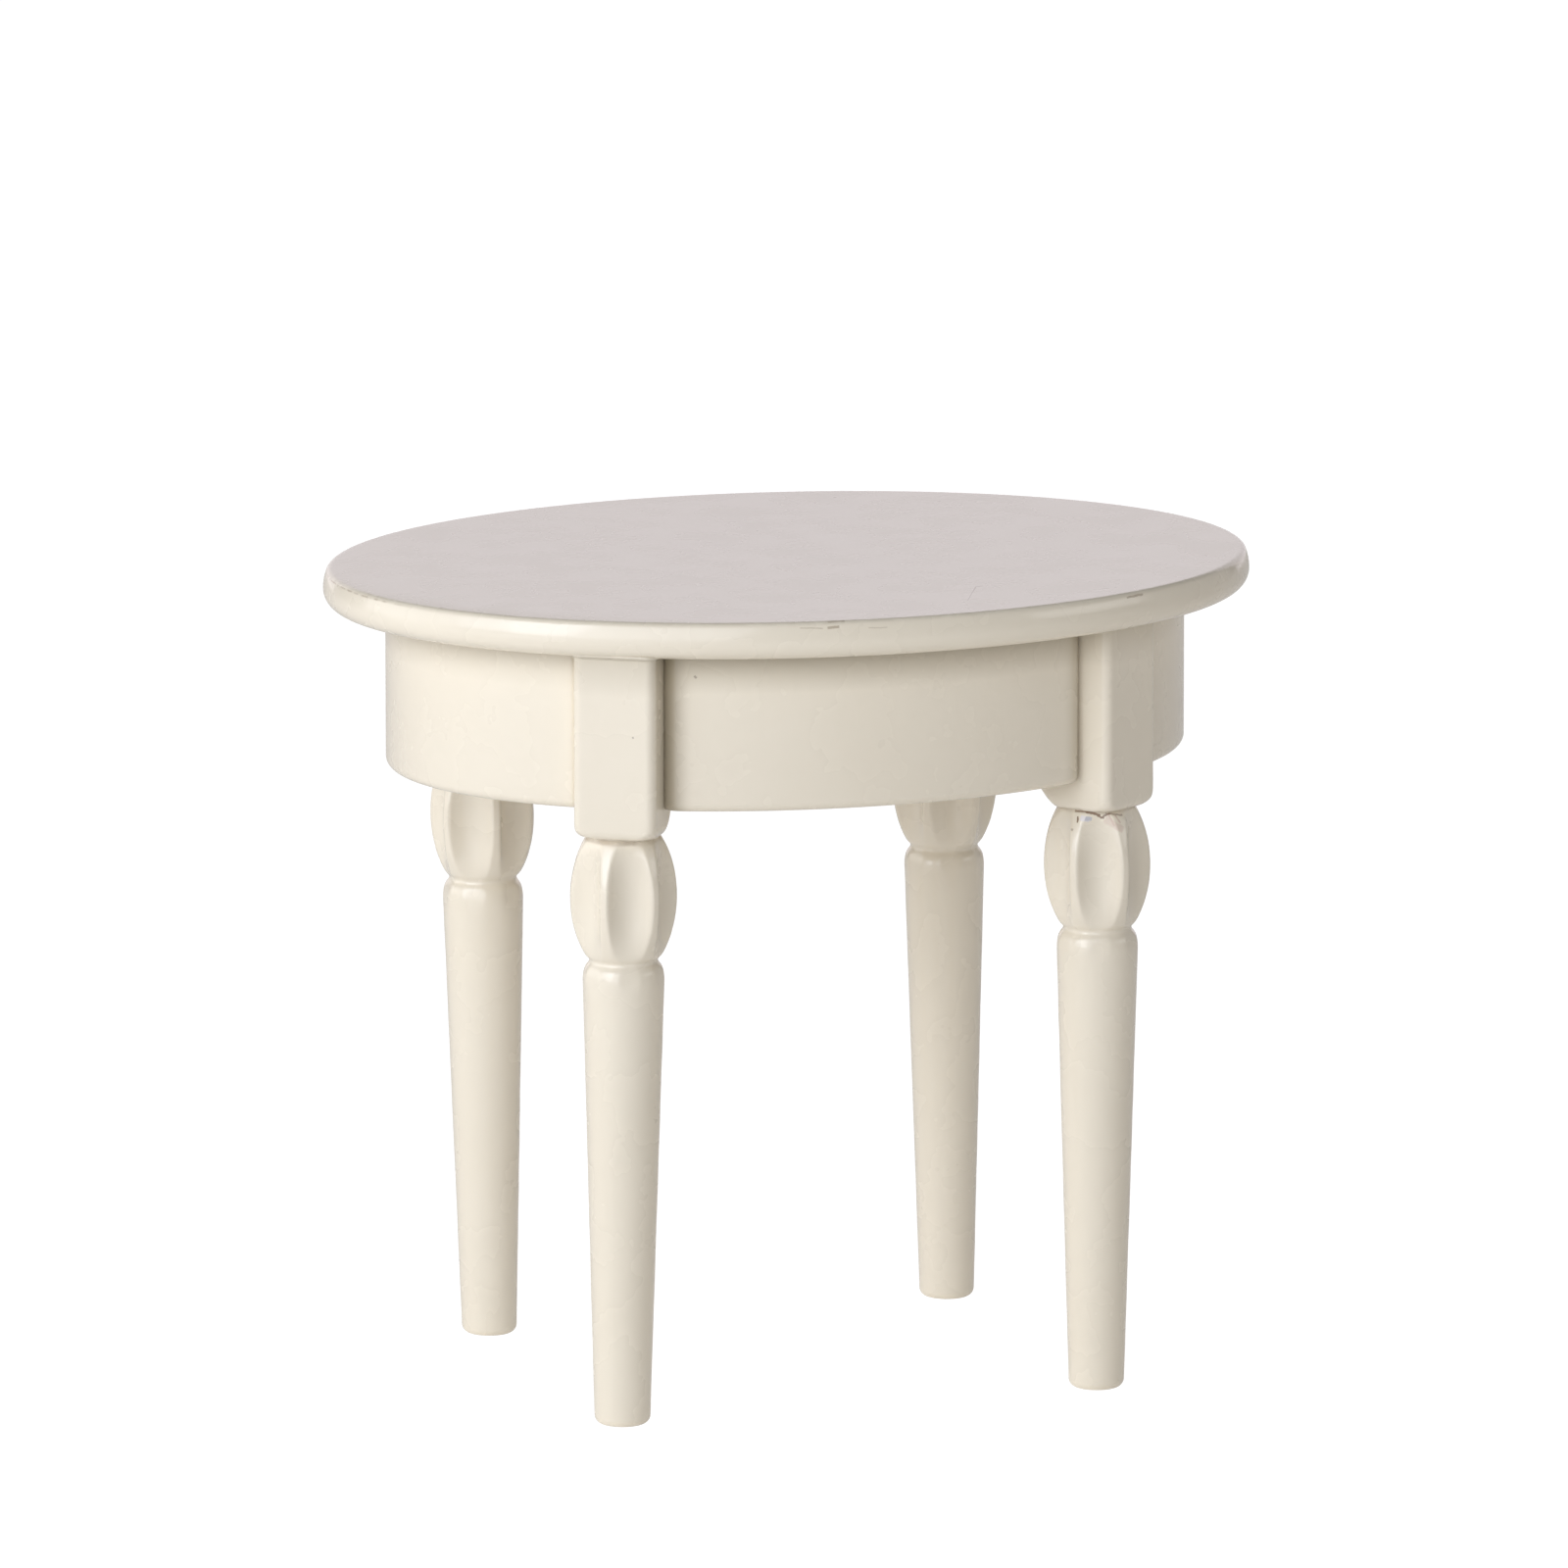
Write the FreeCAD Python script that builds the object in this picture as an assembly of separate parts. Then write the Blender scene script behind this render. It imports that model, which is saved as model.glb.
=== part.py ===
import FreeCAD, Part
import math
import os

# Dolls-house dining table: an oval top on an oval apron, four corner blocks and four
# turned legs. Millimetres, +Z up, origin on the floor under the centre of the table,
# +X along the oval's long axis, the front of the table towards -Y.

# Overall size
HEIGHT = 75.0
TOP_LENGTH = 86.2
TOP_WIDTH = 65.2

# Oval top
TOP_THICKNESS = 3.5
TOP_ARRIS_RADIUS = 0.6
TOP_UNDERSIDE_RADIUS = 1.6

# Apron, in four curved rails between the corner blocks
APRON_LENGTH = 74.9
APRON_WIDTH = 55.8
APRON_BOTTOM = 57.0
APRON_WALL = 1.8
APRON_EDGE_RADIUS = 0.8
TENON_LENGTH = 1.2
TENON_INSET = 0.5
TENON_SHOULDER = 2.6
TENON_CLEARANCE = 0.05

# Screw lugs inside the rails
LUG_WIDTH = 5.0
LUG_DEPTH = 4.4
LUG_HEIGHT = 2.8

# Corner blocks, turned to face square out of the oval, their fronts further from the leg's
# axis than their sides and backs
LEG_X = 22.7
LEG_Y = 20.0
BLOCK_SIDE = 7.6
BLOCK_FRONT = 4.3
BLOCK_TURN = 33.5
BLOCK_EDGE_RADIUS = 0.8
BLOCK_BOTTOM = 54.3
SHOULDER_MID_RADIUS = 4.98
SHOULDER_MID_RISE = 0.44
SHOULDER_TOP_RADIUS = 5.75
SHOULDER_TOP_RISE = 1.55

# Turned legs
FOOT_RADIUS = 2.54
FOOT_EDGE_RADIUS = 0.8
SHAFT_TOP_RADIUS = 3.70
SHAFT_TOP = 41.1
COLLAR_CROWN = 0.13
NECK_RADIUS = 3.17
NECK_Z = 42.95
NECK_LAND = 0.1
BULB_RADIUS = 4.88
BULB_CENTRE = 48.85
BULB_HALF_HEIGHT = 7.75
WAIST_RADIUS = 3.70
WAIST_LAND = 0.3

# Scooped flutes round each bulb
FLUTE_COUNT = 6
FLUTE_FLOOR_RADIUS = 3.45
FLUTE_SECTION_RADIUS = 2.9
FLUTE_SWEEP_RADIUS = 42.0

# Threaded studs that hold top, block and leg together
STUD_RADIUS = 1.2
STUD_BORE_RADIUS = 1.25
STUD_IN_LEG = 7.0
STUD_END_GAP = 0.2
STUD_CHAMFER = 0.3
BLIND_DEPTH = 2.3

# Screws that hold the rails to the top
SCREW_RADIUS = 0.8
SCREW_HOLE_RADIUS = 0.9
SCREW_HEAD_RADIUS = 1.8
SCREW_HEAD_HEIGHT = 1.1
SCREW_HEAD_EDGE_RADIUS = 0.4
SCREW_SLOT_WIDTH = 0.45
SCREW_SLOT_DEPTH = 0.5

UNDERSIDE = HEIGHT - TOP_THICKNESS
STUD_TOP = UNDERSIDE + BLIND_DEPTH
BLOCK_HALF = BLOCK_SIDE / 2
BOOLEAN_MARGIN = 1.0
LEVEL_TOLERANCE = 1e-4
OVAL_SEAM = math.radians(50.0)
OUTSIDE_CORNERS = BLOCK_SIDE

# Each corner: which side of the table it is on, and how far round its leg was screwed,
# given as the bearing of one ridge between the flutes
CORNERS = {
    "front_left": {"side": (-1, -1), "ridge": 19.0},
    "front_right": {"side": (1, -1), "ridge": 13.0},
    "back_left": {"side": (-1, 1), "ridge": 57.5},
    "back_right": {"side": (1, 1), "ridge": 20.0},
}

# Each rail: the direction in which it faces
RAILS = {
    "apron_front": (0, -1),
    "apron_back": (0, 1),
    "apron_left": (-1, 0),
    "apron_right": (1, 0),
}

UP = FreeCAD.Vector(0, 0, 1)
ORIGIN = FreeCAD.Vector(0, 0, 0)


def oval_plate(half_length, half_width, bottom, top):
    """Solid oval plate between two heights, its outline two half ovals that meet at the corner blocks."""
    centre = FreeCAD.Vector(0, 0, bottom)
    long_point = FreeCAD.Vector(half_length, 0, bottom)
    side_point = FreeCAD.Vector(0, half_width, bottom)
    oval = Part.Ellipse(long_point, side_point, centre)
    halves = [Part.ArcOfEllipse(oval, start, start + math.pi).toShape()
              for start in (OVAL_SEAM, OVAL_SEAM + math.pi)]
    return Part.Face(Part.Wire(halves)).extrude(UP * (top - bottom))


def level_edges(solid, height):
    """The edges of a solid that lie at one height."""
    return [e for e in solid.Edges if abs(e.BoundBox.ZMin - height) < LEVEL_TOLERANCE
            and abs(e.BoundBox.ZMax - height) < LEVEL_TOLERANCE]


def upright_cylinder(radius, bottom, top, x=0.0, y=0.0):
    """Cylinder with a vertical axis."""
    return Part.makeCylinder(radius, top - bottom, FreeCAD.Vector(x, y, bottom), UP)


def revolved(profile):
    """Solid of revolution about the Z axis of edges that form a closed half section."""
    return Part.Face(Part.Wire(profile)).revolve(ORIGIN, UP, 360)


def at_corner(shape, corner, turn):
    """Turn a shape about Z and carry it to a corner of the table."""
    side_x, side_y = CORNERS[corner]["side"]
    placed = shape.copy()
    placed.rotate(ORIGIN, UP, turn)
    placed.translate(FreeCAD.Vector(side_x * LEG_X, side_y * LEG_Y, 0))
    return placed


def block_bearing(corner):
    """Turn that points a block's -Y face square out of the oval at its corner."""
    side_x, side_y = CORNERS[corner]["side"]
    turn = BLOCK_TURN * side_x
    return turn if side_y < 0 else 180 - turn


def screw_positions():
    """Centre of the screw in each rail's lug."""
    reach_x = APRON_LENGTH / 2 - APRON_WALL - LUG_DEPTH / 2
    reach_y = APRON_WIDTH / 2 - APRON_WALL - LUG_DEPTH / 2
    return {rail: (dx * reach_x, dy * reach_y) for rail, (dx, dy) in RAILS.items()}


def make_tabletop():
    """Oval top with a crisp upper arris, a rounded rim and blind holes underneath."""
    top = oval_plate(TOP_LENGTH / 2, TOP_WIDTH / 2, UNDERSIDE, HEIGHT)
    top = top.makeFillet(TOP_ARRIS_RADIUS, level_edges(top, HEIGHT))
    top = top.makeFillet(TOP_UNDERSIDE_RADIUS, level_edges(top, UNDERSIDE))
    for corner in CORNERS.values():
        side_x, side_y = corner["side"]
        top = top.cut(upright_cylinder(STUD_BORE_RADIUS, UNDERSIDE - BOOLEAN_MARGIN, STUD_TOP,
                                       side_x * LEG_X, side_y * LEG_Y))
    for x, y in screw_positions().values():
        top = top.cut(upright_cylinder(SCREW_HOLE_RADIUS, UNDERSIDE - BOOLEAN_MARGIN, STUD_TOP, x, y))
    return top


def block_prism(half_width, bottom, top):
    """Prism as deep as a block, of any width, round the Z axis, its front face towards -Y."""
    corner = FreeCAD.Vector(-half_width, -BLOCK_FRONT, bottom)
    return Part.makeBox(2 * half_width, BLOCK_FRONT + BLOCK_HALF, top - bottom, corner)


def make_apron_ring():
    """Oval band that the four rails are parted from."""
    outer = oval_plate(APRON_LENGTH / 2, APRON_WIDTH / 2, APRON_BOTTOM, UNDERSIDE)
    outer = outer.makeFillet(APRON_EDGE_RADIUS, level_edges(outer, APRON_BOTTOM))
    inner = oval_plate(APRON_LENGTH / 2 - APRON_WALL, APRON_WIDTH / 2 - APRON_WALL,
                       APRON_BOTTOM - BOOLEAN_MARGIN, UNDERSIDE + BOOLEAN_MARGIN)
    return outer.cut(inner)


def make_joint_band(clearance):
    """Thin oval band along the middle of the apron's wall: the section of the tenons."""
    inset = TENON_INSET - clearance
    bottom = APRON_BOTTOM + TENON_SHOULDER - clearance
    top = UNDERSIDE - TENON_SHOULDER + clearance
    outer = oval_plate(APRON_LENGTH / 2 - inset, APRON_WIDTH / 2 - inset, bottom, top)
    inner_inset = APRON_WALL - inset
    inner = oval_plate(APRON_LENGTH / 2 - inner_inset, APRON_WIDTH / 2 - inner_inset,
                       bottom - BOOLEAN_MARGIN, top + BOOLEAN_MARGIN)
    return outer.cut(inner)


def make_tenons(corner, clearance):
    """The two stubs that enter the sides of one block, or with a clearance its mortises."""
    whole = block_prism(BLOCK_HALF, BLOCK_BOTTOM, UNDERSIDE)
    core = block_prism(BLOCK_HALF - TENON_LENGTH - clearance,
                       BLOCK_BOTTOM - BOOLEAN_MARGIN, UNDERSIDE + BOOLEAN_MARGIN)
    cheeks = at_corner(whole.cut(core), corner, block_bearing(corner))
    return make_joint_band(clearance).common(cheeks)


def make_lug(direction, x, y):
    """Lug inside a rail, bored for the screw that goes up into the top."""
    across_x = LUG_DEPTH + APRON_WALL if direction[0] else LUG_WIDTH
    across_y = LUG_DEPTH + APRON_WALL if direction[1] else LUG_WIDTH
    centre_x = x + direction[0] * APRON_WALL / 2
    centre_y = y + direction[1] * APRON_WALL / 2
    lug_bottom = UNDERSIDE - LUG_HEIGHT
    corner = FreeCAD.Vector(centre_x - across_x / 2, centre_y - across_y / 2, lug_bottom)
    lug = Part.makeBox(across_x, across_y, LUG_HEIGHT, corner)
    inside = oval_plate(APRON_LENGTH / 2 - APRON_WALL / 2, APRON_WIDTH / 2 - APRON_WALL / 2,
                        lug_bottom, UNDERSIDE)
    return lug.common(inside)


def make_rails():
    """The four curved rails, with their tenons and screw lugs."""
    ring = make_apron_ring()
    for corner in CORNERS:
        block = block_prism(BLOCK_HALF, BLOCK_BOTTOM, UNDERSIDE + BOOLEAN_MARGIN)
        ring = ring.cut(at_corner(block, corner, block_bearing(corner)))
    segments = ring.Solids
    tenons = [t for corner in CORNERS for t in make_tenons(corner, 0.0).Solids]
    rails = {}
    for rail, (dx, dy) in RAILS.items():
        body = max(segments, key=lambda s: s.CenterOfMass.x * dx + s.CenterOfMass.y * dy)
        for tenon in tenons:
            if body.distToShape(tenon)[0] < TENON_CLEARANCE:
                body = body.fuse(tenon)
        x, y = screw_positions()[rail]
        body = body.fuse(make_lug((dx, dy), x, y)).removeSplitter()
        hole = upright_cylinder(SCREW_HOLE_RADIUS, APRON_BOTTOM, UNDERSIDE + BOOLEAN_MARGIN, x, y)
        rails[rail] = body.cut(hole)
    return rails


def make_shoulder_envelope():
    """Solid of revolution that rounds a block's lower corners in to its waist."""
    centre_bottom = FreeCAD.Vector(0, 0, BLOCK_BOTTOM)
    waist = FreeCAD.Vector(WAIST_RADIUS, 0, BLOCK_BOTTOM)
    middle = FreeCAD.Vector(SHOULDER_MID_RADIUS, 0, BLOCK_BOTTOM + SHOULDER_MID_RISE)
    shoulder = FreeCAD.Vector(SHOULDER_TOP_RADIUS, 0, BLOCK_BOTTOM + SHOULDER_TOP_RISE)
    side = FreeCAD.Vector(OUTSIDE_CORNERS, 0, APRON_BOTTOM)
    side_top = FreeCAD.Vector(OUTSIDE_CORNERS, 0, UNDERSIDE)
    centre_top = FreeCAD.Vector(0, 0, UNDERSIDE)
    return revolved([
        Part.makeLine(centre_bottom, waist),
        Part.Arc(waist, middle, shoulder).toShape(),
        Part.makeLine(shoulder, side),
        Part.makeLine(side, side_top),
        Part.makeLine(side_top, centre_top),
        Part.makeLine(centre_top, centre_bottom),
    ])


def make_block(corner):
    """Corner block with rounded edges, a turned shoulder, mortises and the stud's bore."""
    block = block_prism(BLOCK_HALF, BLOCK_BOTTOM, UNDERSIDE)
    uprights = [e for e in block.Edges if e.BoundBox.ZLength > BLOCK_SIDE]
    block = block.makeFillet(BLOCK_EDGE_RADIUS, uprights)
    block = block.common(make_shoulder_envelope())
    block = block.cut(upright_cylinder(STUD_BORE_RADIUS, BLOCK_BOTTOM - BOOLEAN_MARGIN,
                                       UNDERSIDE + BOOLEAN_MARGIN))
    block = at_corner(block, corner, block_bearing(corner))
    return block.cut(make_tenons(corner, TENON_CLEARANCE))


def bulb_radius_at(height):
    """Radius of the bulb's egg shape at a height."""
    rise = (height - BULB_CENTRE) / BULB_HALF_HEIGHT
    return BULB_RADIUS * math.sqrt(1 - rise * rise)


def bulb_arc(lower, upper):
    """The bulb's outline between two heights, an arc of an upright ellipse."""
    centre = FreeCAD.Vector(0, 0, BULB_CENTRE)
    tip = FreeCAD.Vector(0, 0, BULB_CENTRE + BULB_HALF_HEIGHT)
    widest = FreeCAD.Vector(BULB_RADIUS, 0, BULB_CENTRE)
    ellipse = Part.Ellipse(tip, widest, centre)
    start = FreeCAD.Vector(bulb_radius_at(lower), 0, lower)
    end = FreeCAD.Vector(bulb_radius_at(upper), 0, upper)
    first, last = sorted((ellipse.parameter(start), ellipse.parameter(end)))
    return Part.ArcOfEllipse(ellipse, first, last).toShape(), start, end


def make_leg_blank():
    """Lathe-turned leg before its flutes are scooped: foot, tapered shaft, neck and bulb."""
    outline, bulb_start, bulb_end = bulb_arc(NECK_Z + NECK_LAND, BLOCK_BOTTOM - WAIST_LAND)
    foot_centre = FreeCAD.Vector(0, 0, 0)
    foot_flat = FreeCAD.Vector(FOOT_RADIUS - FOOT_EDGE_RADIUS, 0, 0)
    foot_knee = FreeCAD.Vector(FOOT_RADIUS - FOOT_EDGE_RADIUS * (1 - math.sqrt(0.5)), 0,
                               FOOT_EDGE_RADIUS * (1 - math.sqrt(0.5)))
    foot_side = FreeCAD.Vector(FOOT_RADIUS, 0, FOOT_EDGE_RADIUS)
    shaft_top = FreeCAD.Vector(SHAFT_TOP_RADIUS, 0, SHAFT_TOP)
    collar_mid = FreeCAD.Vector((SHAFT_TOP_RADIUS + NECK_RADIUS) / 2 + COLLAR_CROWN, 0,
                                (SHAFT_TOP + NECK_Z) / 2)
    neck = FreeCAD.Vector(NECK_RADIUS, 0, NECK_Z)
    waist = FreeCAD.Vector(WAIST_RADIUS, 0, BLOCK_BOTTOM)
    top_centre = FreeCAD.Vector(0, 0, BLOCK_BOTTOM)
    return revolved([
        Part.makeLine(foot_centre, foot_flat),
        Part.Arc(foot_flat, foot_knee, foot_side).toShape(),
        Part.makeLine(foot_side, shaft_top),
        Part.Arc(shaft_top, collar_mid, neck).toShape(),
        Part.makeLine(neck, bulb_start),
        outline,
        Part.makeLine(bulb_end, waist),
        Part.makeLine(waist, top_centre),
        Part.makeLine(top_centre, foot_centre),
    ])


def make_flute_cutter():
    """Ring whose outer edge scoops one flute, deepest at the bulb's middle."""
    tube_centre_radius = FLUTE_SWEEP_RADIUS - FLUTE_SECTION_RADIUS
    middle = FreeCAD.Vector(0, -(FLUTE_FLOOR_RADIUS + FLUTE_SWEEP_RADIUS), BULB_CENTRE)
    sideways = FreeCAD.Vector(1, 0, 0)
    return Part.makeTorus(tube_centre_radius, FLUTE_SECTION_RADIUS, middle, sideways)


def make_fluted_leg():
    """Leg on the Z axis with a ridge facing -Y, its flutes and the stud's socket."""
    leg = make_leg_blank()
    pitch = 360.0 / FLUTE_COUNT
    for index in range(FLUTE_COUNT):
        cutter = make_flute_cutter()
        cutter.rotate(ORIGIN, UP, (index + 0.5) * pitch)
        leg = leg.cut(cutter)
    socket = upright_cylinder(STUD_BORE_RADIUS, BLOCK_BOTTOM - STUD_IN_LEG, BLOCK_BOTTOM + BOOLEAN_MARGIN)
    return leg.cut(socket)


def make_stud():
    """Threaded stud on the Z axis, from the leg's socket up into the top."""
    bottom = BLOCK_BOTTOM - STUD_IN_LEG + STUD_END_GAP
    top = STUD_TOP - STUD_END_GAP
    stud = upright_cylinder(STUD_RADIUS, bottom, top)
    ends = [e for e in stud.Edges if e.BoundBox.ZLength < STUD_CHAMFER]
    return stud.makeChamfer(STUD_CHAMFER, ends)


def make_screw(x, y):
    """Slotted pan-head screw, head down, through a rail's lug into the top."""
    head_top = UNDERSIDE - LUG_HEIGHT
    head_bottom = head_top - SCREW_HEAD_HEIGHT
    head = upright_cylinder(SCREW_HEAD_RADIUS, head_bottom, head_top)
    rim = [e for e in head.Edges if e.BoundBox.ZMax < head_bottom + BOOLEAN_MARGIN / 2]
    head = head.makeFillet(SCREW_HEAD_EDGE_RADIUS, rim)
    slot_corner = FreeCAD.Vector(-BLOCK_SIDE / 2, -SCREW_SLOT_WIDTH / 2, head_bottom - BOOLEAN_MARGIN)
    slot = Part.makeBox(BLOCK_SIDE, SCREW_SLOT_WIDTH, SCREW_SLOT_DEPTH + BOOLEAN_MARGIN, slot_corner)
    shank = upright_cylinder(SCREW_RADIUS, head_top, STUD_TOP - STUD_END_GAP)
    screw = head.cut(slot).fuse(shank).removeSplitter()
    screw.translate(FreeCAD.Vector(x, y, 0))
    return screw


def save(name, shape):
    """Write one node's STEP file and print its size."""
    shape.exportStep(os.path.join("parts", name + ".step"))
    print(name, len(shape.Solids), "solid(s), volume", round(shape.Volume, 2), shape.isValid())


def main():
    os.makedirs("parts", exist_ok=True)
    save("tabletop", make_tabletop())
    for rail, shape in make_rails().items():
        save(rail, shape)
    leg = make_fluted_leg()
    stud = make_stud()
    for corner, place in CORNERS.items():
        save("corner_block_" + corner, make_block(corner))
        save("leg_" + corner, at_corner(leg, corner, place["ridge"]))
    save("leg_studs", Part.makeCompound([at_corner(stud, corner, 0) for corner in CORNERS]))
    save("rail_screws", Part.makeCompound([make_screw(x, y) for x, y in screw_positions().values()]))


main()
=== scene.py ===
"""The looks of a dolls-house dining table in glossy cream enamel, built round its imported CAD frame.

Everything is in metres, +Z up, with the floor at zero and the front of the table towards -Y.
"""
import math

import bmesh
import bpy
from mathutils import Matrix, Vector, noise


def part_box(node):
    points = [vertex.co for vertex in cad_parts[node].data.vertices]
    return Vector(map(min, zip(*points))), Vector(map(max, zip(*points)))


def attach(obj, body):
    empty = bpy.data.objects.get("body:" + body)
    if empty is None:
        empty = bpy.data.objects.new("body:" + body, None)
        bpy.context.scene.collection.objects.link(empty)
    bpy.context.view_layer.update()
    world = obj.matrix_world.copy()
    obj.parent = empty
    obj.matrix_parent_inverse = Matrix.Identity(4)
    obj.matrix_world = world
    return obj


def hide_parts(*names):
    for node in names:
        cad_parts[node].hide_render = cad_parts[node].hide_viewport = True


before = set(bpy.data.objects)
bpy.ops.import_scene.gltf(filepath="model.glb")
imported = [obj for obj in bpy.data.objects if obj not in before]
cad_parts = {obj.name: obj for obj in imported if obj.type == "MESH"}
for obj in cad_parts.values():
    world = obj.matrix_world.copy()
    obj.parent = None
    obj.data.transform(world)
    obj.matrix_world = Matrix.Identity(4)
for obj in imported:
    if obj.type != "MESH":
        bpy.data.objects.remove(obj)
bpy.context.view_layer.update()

MM = 0.001
UP = Vector((0, 0, 1))

# Sizes that come from the CAD nodes
TOP_LOW, TOP_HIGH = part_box("tabletop")
TABLE_HEIGHT = TOP_HIGH.z
UNDERSIDE = TOP_LOW.z
APRON_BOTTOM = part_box("apron_front")[0].z
APRON_HALF_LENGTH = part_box("apron_right")[1].x
APRON_HALF_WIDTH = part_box("apron_back")[1].y
BLOCK_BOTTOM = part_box("corner_block_front_left")[0].z
BULB_RADIUS = (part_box("leg_front_left")[1].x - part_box("leg_front_left")[0].x) / 2

# Top
ARRIS_RADIUS = 0.6 * MM
RIM_UNDER_RADIUS = 1.6 * MM
CROWN_TILT = math.radians(21.0)
TOP_TURN = math.radians(-2.9)
TOP_SHIFT = Vector((0.45 * MM, 0.88 * MM, 0))
WORN_EDGE_BEARING = math.radians(205)
WORN_EDGE_REACH = 3.4 * MM
WORN_EDGE_DROP = 0.16 * MM
WORN_EDGE_SHARPNESS = 4
UNDERSIDE_RING_INSETS = (12.0, 6.0, 2.2)
UPPER_FACE_RING_INSETS = (1.1, 1.5, 2.0, 2.6, 3.4, 12.0)

# Apron
APRON_WALL = 1.8 * MM
APRON_EDGE_RADIUS = 0.8 * MM
APRON_INNER_EDGE_RADIUS = 0.3 * MM
RAIL_END_DEPTH = 1.3 * MM
LONG_RAIL_END_WIDTH = 1.8 * MM
SHORT_RAIL_END_WIDTH = 0.9 * MM
TOP_COVE_RADIUS = 0.3 * MM
RAIL_END_IN_BLOCK = 0.8 * MM
RAIL_COLUMNS = 220
LUG_WIDTH = 5.0 * MM
LUG_DEPTH = 4.4 * MM
LUG_HEIGHT = 2.8 * MM
LUG_EDGE_RADIUS = 0.35 * MM

# Corner blocks
BLOCK_TURN = math.radians(33.5)
BLOCK_EDGE_RADIUS = 0.8 * MM
SHOULDER_HEIGHT = 2.9 * MM
BLOCK_LET_IN = 0.3 * MM
UNDERCUT_SLOPE = 2.5

# Shoulder under each block, as (how far in, over what height) of each part of its outline;
# the back of it tapers evenly
FRONT_DRAW_IN = (0.7 * MM, 0.8 * MM)
SIDE_DRAW_IN = (0.5 * MM, 1.2 * MM)
FRONT_CORNER_GROWTH = (1.7 * MM, 1.4 * MM)
BACK_DRAW_IN = 1.0 * MM
BACK_CORNER_GROWTH = 1.2 * MM

# Turned legs
FOOT_RADIUS = 2.54 * MM
FOOT_EDGE_RADIUS = 0.8 * MM
SHAFT_TOP_RADIUS = 3.70 * MM
SHAFT_TOP = 41.1 * MM
COLLAR_DROP = 1.0 * MM
COLLAR_HEIGHT = 2.1 * MM
NECK_Z = 42.95 * MM
NECK_SOFTNESS = 0.5 * MM
NECK_GROOVE = 0.17 * MM
NECK_GROOVE_HEIGHT = 0.4 * MM
BULB_CENTRE = 48.85 * MM
BULB_HALF_HEIGHT = 7.75 * MM
BULB_TOP = 55.1 * MM
FLUTE_COUNT = 6
FLUTE_FLOOR_RADIUS = 3.35 * MM
FLUTE_SECTION_RADIUS = 2.4 * MM
FLUTE_SWEEP_RADIUS = 42.0 * MM
FLUTE_SOFTNESS = 1.0 * MM

# Unevenness of the thick enamel
LUMP_SIZE = 2.4 * MM
LUMP_HEIGHT = 0.02 * MM

# Each corner: its side of the table; the bearing of one ridge of its leg; how far the
# hand-screwed leg stands off true (mm) at foot, neck and head; how far the block's left, right,
# front and back faces stand from the leg's axis (mm); the rounding of its back edges and the
# height over which they taper in below (mm); and how far its lower end stands above the seam (mm)
CORNERS = {
    "front_left": {"side": (-1, -1), "ridge": 19.0, "foot_off": (-0.05, 0.0), "neck_off": (0.14, 0.0),
                   "head_off": (0.14, 0.0), "faces": (3.52, 4.12, 4.3, 3.7),
                   "back": (1.7, 2.5), "lift": 0.4},
    "front_right": {"side": (1, -1), "ridge": 13.0, "foot_off": (0.35, -0.15), "neck_off": (0.3, -0.22),
                    "head_off": (0.26, -0.05), "faces": (3.6, 3.9, 4.2, 4.0),
                    "back": (0.7, 1.9), "lift": 0.0},
    "back_left": {"side": (-1, 1), "ridge": 57.5, "foot_off": (0.5, -0.35), "neck_off": (0.1, 0.0),
                  "head_off": (0.0, 0.0), "faces": (3.8, 3.8, 4.3, 3.8),
                  "back": (1.0, 2.2), "lift": 0.1},
    "back_right": {"side": (1, 1), "ridge": 20.0, "foot_off": (0.3, 0.2), "neck_off": (-0.1, 0.0),
                   "head_off": (0.0, 0.0), "faces": (3.8, 3.8, 4.3, 3.8),
                   "back": (1.0, 2.2), "lift": 0.1},
}
RAILS = {"apron_front": (0, -1), "apron_back": (0, 1), "apron_left": (-1, 0), "apron_right": (1, 0)}

# How many steps each outline is divided into
OVAL_STEPS = 288
RING_STEPS = 180
RIM_STEPS = 14
CROWN_STEPS = 10
ARRIS_STEPS = 8
COVE_STEPS = 6
RAIL_EDGE_STEPS = 8
RAIL_FACE_STEPS = 9
RAIL_INNER_EDGE_STEPS = 4
RAIL_END_SEARCH_STEPS = 1440
LUG_EDGE_STEPS = 5
BLOCK_CORNER_STEPS = 12
BLOCK_SIDE_STEPS = 16
SHOULDER_STEPS = 30
BLOCK_WALL_STEPS = 24
FOOT_EDGE_STEPS = 10
SHAFT_STEPS = 48
BULB_STEPS = 138


# ---------------------------------------------------------------- mesh helpers

def smooth_min(a, b, reach):
    """The smaller of two sizes, rounded off where they are within a reach of each other."""
    blend = max(reach - abs(a - b), 0.0) / reach
    return min(a, b) - blend * blend * reach / 4


def add_piece(name, points, faces, material, nodes):
    """A smooth-shaded mesh piece of the table that stands for CAD nodes."""
    mesh = bpy.data.meshes.new(name)
    mesh.from_pydata([tuple(p) for p in points], [], faces)
    mesh.validate()
    shell = bmesh.new()
    shell.from_mesh(mesh)
    bmesh.ops.recalc_face_normals(shell, faces=shell.faces)
    shell.to_mesh(mesh)
    shell.free()
    mesh.shade_smooth()
    piece = bpy.data.objects.new(name, mesh)
    bpy.context.scene.collection.objects.link(piece)
    mesh.materials.append(material)
    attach(piece, "root")
    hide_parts(*nodes)


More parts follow.
